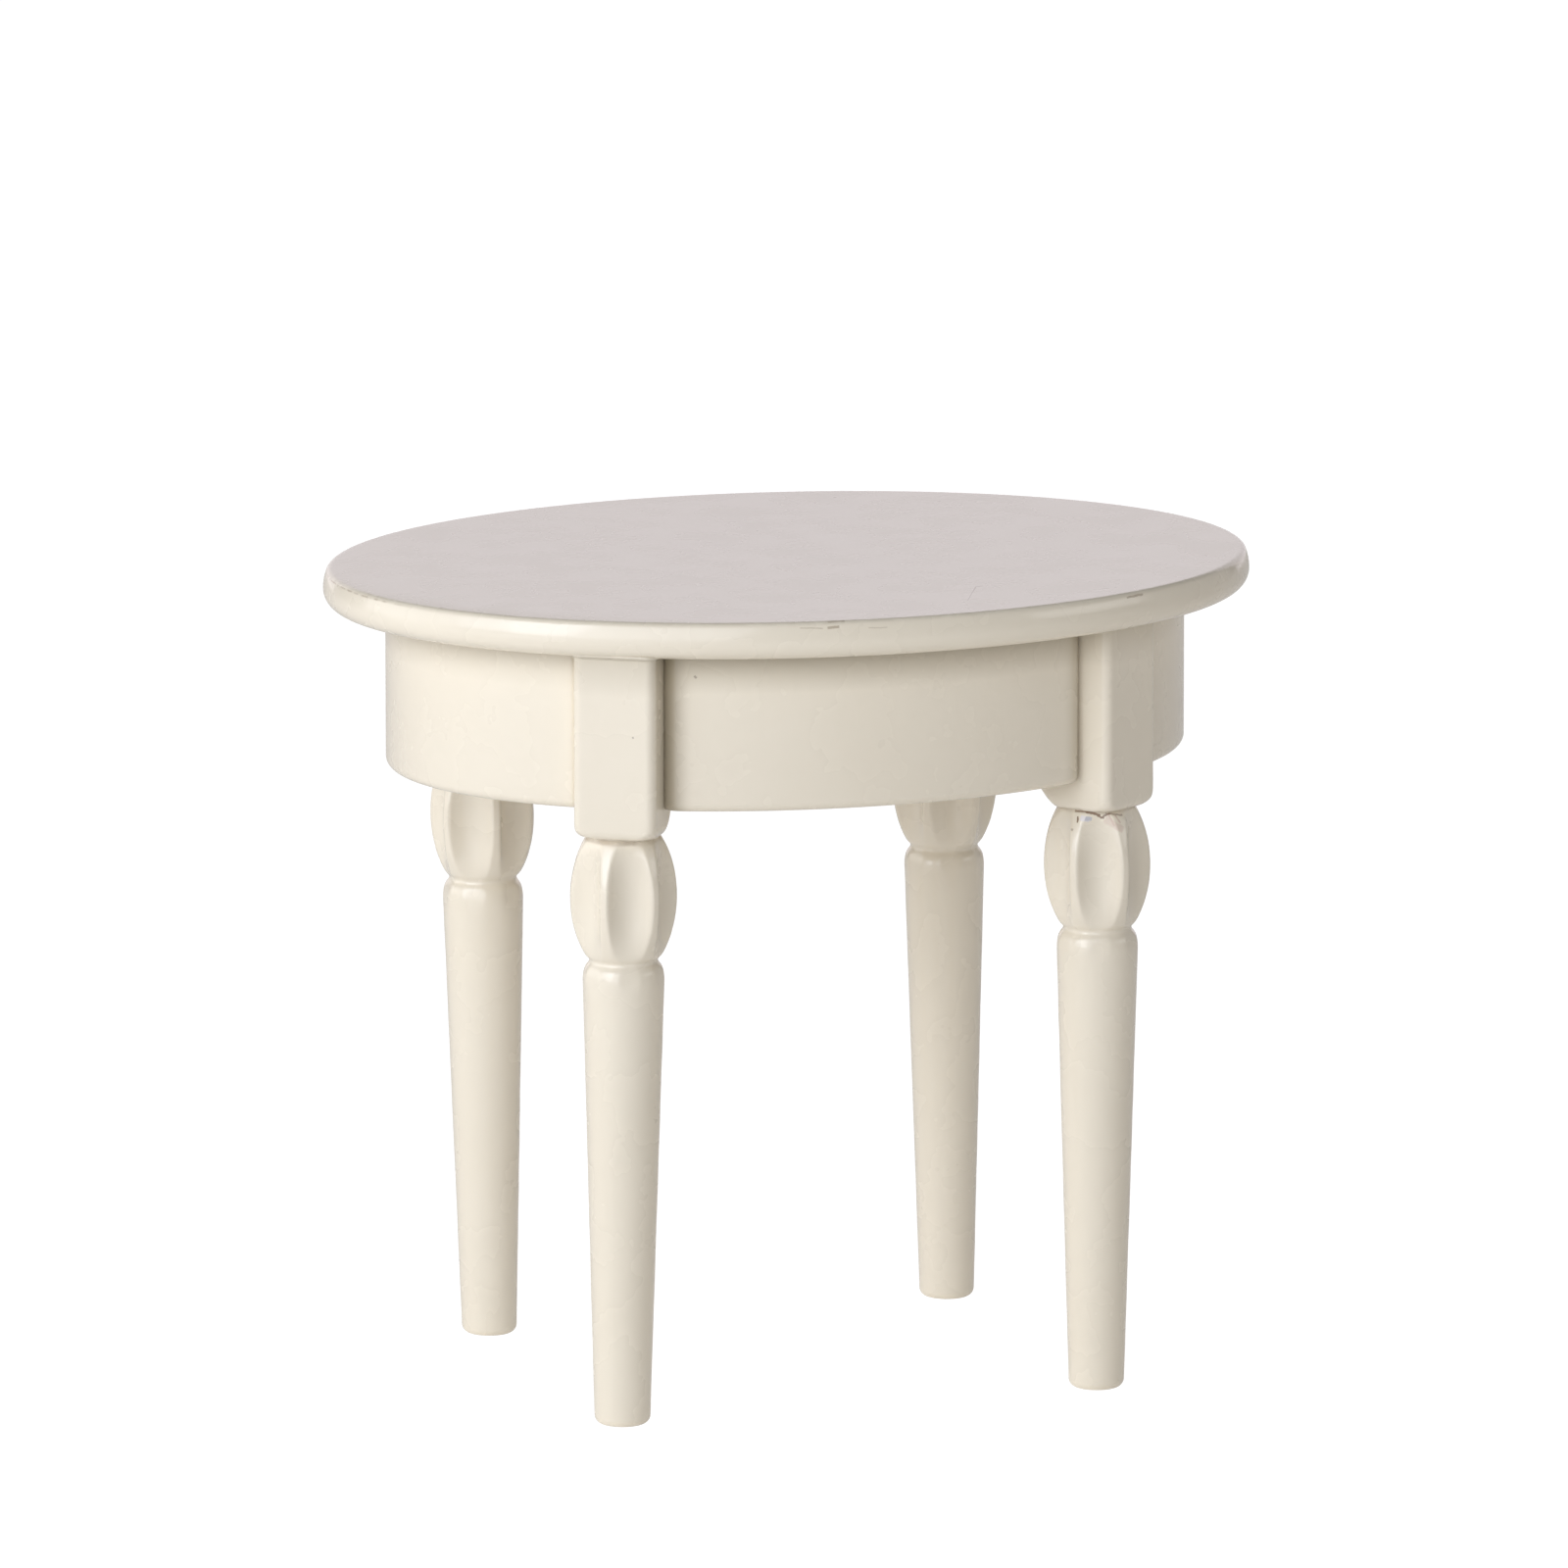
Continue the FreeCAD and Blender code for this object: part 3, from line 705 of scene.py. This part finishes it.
def enamel(name):
    """Glossy cream enamel: slight tone drift, orange peel, faint gloss changes, a few dust specks."""
    n = Nodes(name)
    tone = n.ranged(n.noise(TONE_PATCH_SIZE, 3.0), 0.3, 0.7)
    colour = n.mixed(tone, CREAM_LIGHT, CREAM_DEEP)
    cells = n.add("ShaderNodeTexVoronoi")
    cells.inputs["Scale"].default_value = 1 / SPECK_SPACING
    n.wire(n.place, cells.inputs["Vector"])
    near = n.ranged(cells.outputs["Distance"], 0.012, 0.035, 1.0, 0.0)
    split = n.add("ShaderNodeSeparateColor")
    n.wire(cells.outputs["Color"], split.inputs["Color"])
    chosen = n.math("GREATER_THAN", split.outputs["Red"], SPECK_RARITY)
    speck = n.math("MULTIPLY", near, chosen)
    n.colour = n.mixed(n.math("MULTIPLY", speck, SPECK_STRENGTH), colour, SPECK)
    n.roughness = n.ranged(n.noise(GLOSS_PATCH_SIZE, 3.0, shift=0.3), 0.3, 0.7, *ENAMEL_ROUGHNESS)
    peel = n.add("ShaderNodeBump")
    peel.inputs["Strength"].default_value = PEEL_STRENGTH
    peel.inputs["Distance"].default_value = PEEL_HEIGHT
    n.wire(n.noise(PEEL_SIZE, 2.0, shift=0.7), peel.inputs["Height"])
    n.normal = peel.outputs["Normal"]
    n.shader.inputs["IOR"].default_value = ENAMEL_IOR
    n.shader.inputs["Coat Weight"].default_value = COAT_WEIGHT
    n.shader.inputs["Coat Roughness"].default_value = COAT_ROUGHNESS
    return n


def finished(n):
    """Wires an enamel's colour, roughness and normal to its shader and gives the material."""
    n.wire(n.colour, n.shader.inputs["Base Color"])
    n.wire(n.roughness, n.shader.inputs["Roughness"])
    n.wire(n.normal, n.shader.inputs["Normal"])
    return n.material


def seamed(n):
    """Adds the soft brown line of the joint between a block and its leg."""
    off_seam = n.math("ABSOLUTE", n.offset(UP * BLOCK_BOTTOM, UP))
    line = n.ranged(off_seam, 0.05 * MM, 0.35 * MM, 1.0, 0.0)
    patchy = n.ranged(n.noise(1.6 * MM, 3.0, shift=0.5), 0.3, 0.65, 0.15, 1.0)
    n.stained(n.math("MULTIPLY", line, patchy), SEAM_STRENGTH, GRIME)


def side_plane(corner, side):
    """A point on a side face of a block, the way that face looks, and the way its front looks."""
    turn = Matrix.Rotation(block_bearing(corner), 3, "Z")
    outward = turn @ Vector((side, 0, 0))
    reach = CORNERS[corner]["faces"][1 if side > 0 else 0] * MM
    return CENTRES[corner] + outward * reach, outward, turn @ Vector((0, -1, 0))


def rail_joint_painted_shade(n, corner, side, strength):
    """Paints shade on a rail's end where it meets a side face of a block, darkening its colour."""
    point, outward, _ = side_plane(corner, side)
    mask = n.ranged(n.offset(point, outward), *RAIL_PAINTED_SHADE_REACH, 1.0, 0.0)
    # painted shade: the shade of the corner mixed into the rail's colour
    n.stained(mask, strength, JOINT_SHADE)


def painted_shade_below_top(n, strength):
    """Paints the shadow of the top's overhang on a piece, darker towards the underside of the top."""
    mask = n.ranged(n.offset(UP * UNDERSIDE, UP), -OVERHANG_PAINTED_SHADE_DEPTH, 0.0, smooth=False)
    # painted shadow: the overhang's shade mixed into the colour, strongest against the underside
    n.stained(mask, strength, JOINT_SHADE)


def cheek_painted_shade(n, corner, side):
    """Paints shade on a side face of a block where it stands forward of a rail."""
    point, outward, forward = side_plane(corner, side)
    near_rail = n.ranged(n.offset(CENTRES[corner], forward), *CHEEK_PAINTED_SHADE_START, 1.0, 0.0)
    on_side = n.ranged(n.offset(point, outward), -0.3 * MM, -0.1 * MM)
    above = n.ranged(n.offset(UP * APRON_BOTTOM, UP), -0.2 * MM, 0.5 * MM)
    mask = n.math("MULTIPLY", n.math("MULTIPLY", near_rail, on_side), above)
    # painted shade: the block's side next to the rail, darkened in its colour
    n.stained(mask, CHEEK_PAINTED_SHADE, JOINT_SHADE)


def make_top_enamel():
    """Enamel of the top: worn arris at the left end, nicks at the front edge, a hairline scratch."""
    n = enamel("top_enamel")
    height = n.offset((0, 0, TABLE_HEIGHT), UP)
    arris = n.math("MULTIPLY", n.ranged(height, -0.3 * MM, -0.2 * MM),
                   n.ranged(height, -0.06 * MM, -0.01 * MM, 1.0, 0.0))
    below_arris = n.math("MULTIPLY", n.ranged(height, -0.46 * MM, -0.38 * MM),
                         n.ranged(height, -0.34 * MM, -0.27 * MM, 1.0, 0.0))
    broken = n.ranged(n.noise(1.1 * MM, 4.0, shift=0.9), 0.35, 0.6)
    at_left = n.ranged(n.offset((0, 0, 0), (-1, 0, 0)), *WORN_END_START)
    worn_end = n.math("MULTIPLY", n.math("MULTIPLY", below_arris, broken), at_left)
    n.stained(worn_end, WORN_END_STRENGTH, GRIME)
    on_front_left = n.ranged(n.offset((0, 0, 0), (1, 0, 0)), *FRONT_LEFT_WEAR_END, 1.0, 0.0)
    worn_front = n.math("MULTIPLY", n.math("MULTIPLY", arris, broken), on_front_left)
    n.stained(worn_front, FRONT_LEFT_WEAR_STRENGTH, GRIME)
    for start, end, width, outward, strength in TOP_MARKS:
        n.stained(n.stroke(start, end, width, outward, 0.15), strength, GRIME)
    return finished(n)


def make_marked_enamel(name, marks, seam=False, rail_joints=(), cheeks=(), overhang=OVERHANG_PAINTED_SHADE):
    """Enamel with painted shade near joints and under the top, with marks on it: (start, end, width,
    outward, strength, colour).
    """
    n = enamel(name)
    painted_shade_below_top(n, overhang)
    if seam:
        seamed(n)
    for corner, side in rail_joints:
        rail_joint_painted_shade(n, corner, side, RAIL_PAINTED_SHADE[corner])
    for corner, side in cheeks:
        cheek_painted_shade(n, corner, side)
    for start, end, width, outward, strength, colour in marks:
        n.stained(n.stroke(start, end, width, outward, 0.3), strength, colour)
    return finished(n)


def make_steel():
    """Bright drawn steel with fine lines and a little tarnish."""
    n = Nodes("bright_steel")
    tarnish = n.ranged(n.noise(1.5 * MM, 4.0), 0.4, 0.7)
    n.wire(n.mixed(tarnish, STEEL_BRIGHT, STEEL_TARNISHED), n.shader.inputs["Base Color"])
    n.shader.inputs["Metallic"].default_value = 1.0
    n.wire(n.ranged(n.noise(0.3 * MM, 2.0), 0.3, 0.7, 0.22, 0.4), n.shader.inputs["Roughness"])
    return n.material


# ---------------------------------------------------------------- studio

CAMERA_BEARING = math.radians(-19.33)
CAMERA_RISE = math.radians(11.22)
CAMERA_DISTANCE = 1.9
CAMERA_TARGET = Vector((-0.18 * MM, 0.0, 53.92 * MM))
LENS = 476.3
SENSOR = 36.0
SOFTBOX_AIM = Vector((0, 0, 0.04))

# Name, bearing, rise, distance, width, height, brightness and colour
SOFTBOXES = (
    ("key", -68, 22, 0.8, 0.5, 0.5, 2.6, (0.88, 0.92, 1.0)),
    ("fill", -42, 20, 1.0, 1.0, 0.7, 2.05, (0.93, 0.95, 1.0)),
    ("left", -110, 14, 1.0, 0.8, 0.5, 1.5, (1.0, 0.98, 0.96)),
    ("right", 95, 14, 1.0, 0.8, 0.5, 0.38, (1.0, 0.97, 0.95)),
    ("side", 58, 16, 0.8, 0.4, 0.2, 1.6, (1.0, 0.98, 0.96)),
    ("behind", 161, 14, 1.2, 1.8, 0.7, 0.83, (1.0, 0.92, 0.98)),
)
AMBIENT_COLOUR = (1.0, 0.97, 0.92, 1.0)
AMBIENT_STRENGTH = 0.15
WHITE = (1.0, 1.0, 1.0, 1.0)
FLOOR_RADIUS = 6.0
FLOOR_STEPS = 96
FLOOR_COLOUR = (0.82, 0.82, 0.82, 1.0)
FLOOR_WARMTH = (1.0, 0.95, 0.88, 1.0)
FLOOR_WARMTH_STRENGTH = 0.2
FLOOR_GLOW_STRENGTH = 1.15
FLOOR_GLOW_SHARE = 0.85


def towards(bearing, rise):
    """Direction seen from the table, by bearing from the front and height above the horizon, in degrees."""
    a, e = math.radians(bearing), math.radians(rise)
    return Vector((math.sin(a) * math.cos(e), -math.cos(a) * math.cos(e), math.sin(e)))


def make_camera():
    lens = bpy.data.cameras.new("camera")
    lens.sensor_width = SENSOR
    lens.lens = LENS
    lens.clip_start = 0.1
    lens.clip_end = 20.0
    camera = bpy.data.objects.new("camera", lens)
    bpy.context.scene.collection.objects.link(camera)
    back = towards(math.degrees(CAMERA_BEARING), math.degrees(CAMERA_RISE))
    camera.location = CAMERA_TARGET + back * CAMERA_DISTANCE
    camera.rotation_euler = (-back).to_track_quat("-Z", "Y").to_euler()
    bpy.context.scene.camera = camera


def add_softbox(name, bearing, rise, distance, width, height, radiance, colour):
    """Rectangular softbox that faces the table, of an even brightness."""
    light = bpy.data.lights.new(name, "AREA")
    light.shape = "RECTANGLE"
    light.size = width
    light.size_y = height
    light.energy = radiance * math.pi * width * height
    light.color = colour
    softbox = bpy.data.objects.new(name, light)
    bpy.context.scene.collection.objects.link(softbox)
    direction = towards(bearing, rise)
    softbox.location = SOFTBOX_AIM + direction * distance
    softbox.rotation_euler = (-direction).to_track_quat("-Z", "Y").to_euler()
    softbox.visible_camera = False


def make_lights():
    """Softboxes round the table, dim light from all round, and a white backdrop for the camera."""
    for softbox in SOFTBOXES:
        add_softbox(*softbox)
    world = bpy.data.worlds.new("studio")
    bpy.context.scene.world = world
    world.use_nodes = True
    nodes, links = world.node_tree.nodes, world.node_tree.links
    ambient = nodes["Background"]
    ambient.inputs["Color"].default_value = AMBIENT_COLOUR
    ambient.inputs["Strength"].default_value = AMBIENT_STRENGTH
    backdrop = nodes.new("ShaderNodeBackground")
    backdrop.inputs["Color"].default_value = WHITE
    mix = nodes.new("ShaderNodeMixShader")
    links.new(nodes.new("ShaderNodeLightPath").outputs["Is Camera Ray"], mix.inputs["Fac"])
    links.new(ambient.outputs["Background"], mix.inputs[1])
    links.new(backdrop.outputs["Background"], mix.inputs[2])
    links.new(mix.outputs["Shader"], nodes["World Output"].inputs["Surface"])


def make_floor():
    """Plain pale floor, kept near white where the camera looks at it."""
    n = Nodes("pale_floor")
    n.shader.inputs["Base Color"].default_value = FLOOR_COLOUR
    n.shader.inputs["Roughness"].default_value = 0.9
    n.shader.inputs["Specular IOR Level"].default_value = 0.0
    n.shader.inputs["Emission Color"].default_value = FLOOR_WARMTH
    n.shader.inputs["Emission Strength"].default_value = FLOOR_WARMTH_STRENGTH
    glow = n.add("ShaderNodeEmission")
    glow.inputs["Color"].default_value = WHITE
    glow.inputs["Strength"].default_value = FLOOR_GLOW_STRENGTH
    mix = n.add("ShaderNodeMixShader")
    seen = n.add("ShaderNodeLightPath").outputs["Is Camera Ray"]
    n.wire(n.math("MULTIPLY", seen, FLOOR_GLOW_SHARE), mix.inputs["Fac"])
    n.wire(n.shader.outputs["BSDF"], mix.inputs[1])
    n.wire(glow.outputs["Emission"], mix.inputs[2])
    output = n.tree.nodes["Material Output"]
    n.wire(mix.outputs["Shader"], output.inputs["Surface"])
    ring = []
    for i in range(FLOOR_STEPS):
        angle = 2 * math.pi * i / FLOOR_STEPS
        ring.append(Vector((FLOOR_RADIUS * math.cos(angle), FLOOR_RADIUS * math.sin(angle), 0)))
    mesh = bpy.data.meshes.new("floor")
    mesh.from_pydata([tuple(p) for p in ring], [], [tuple(range(FLOOR_STEPS))])
    mesh.materials.append(n.material)
    floor = bpy.data.objects.new("floor", mesh)
    bpy.context.scene.collection.objects.link(floor)


# ---------------------------------------------------------------- the table

bpy.context.scene.view_settings.view_transform = "Standard"
make_camera()
make_lights()
make_floor()

rail_enamel = make_marked_enamel("rail_enamel", ())
front_rail_enamel = make_marked_enamel("front_rail_enamel", FRONT_RAIL_MARKS,
                                       rail_joints=(("front_left", 1), ("front_right", -1)),
                                       overhang=FRONT_OVERHANG_PAINTED_SHADE)
joint_enamel = make_marked_enamel("joint_enamel", (), seam=True)
block_enamels = {
    "front_left": make_marked_enamel("front_left_block_enamel", FRONT_LEFT_BLOCK_MARKS, seam=True,
                                     cheeks=(("front_left", 1),)),
    "front_right": make_marked_enamel("front_right_block_enamel", FRONT_RIGHT_SEAM_MARKS, seam=True),
}
leg_enamels = {
    "front_right": make_marked_enamel("front_right_leg_enamel", FRONT_RIGHT_LEG_MARKS, seam=True),
}

make_tabletop(make_top_enamel())
for rail_name, facing in RAILS.items():
    make_rail(rail_name, facing, front_rail_enamel if rail_name == "apron_front" else rail_enamel)
leg_radii = {height: [leg_radius(height, 2 * math.pi * i / RING_STEPS) for i in range(RING_STEPS)]
             for height in leg_heights()}
for corner_name in CORNERS:
    make_block(corner_name, block_enamels.get(corner_name, joint_enamel))
    make_leg(corner_name, leg_radii, leg_enamels.get(corner_name, joint_enamel))
steel = make_steel()
for fastener in ("leg_studs", "rail_screws"):
    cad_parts[fastener].data.materials.clear()
    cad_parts[fastener].data.materials.append(steel)
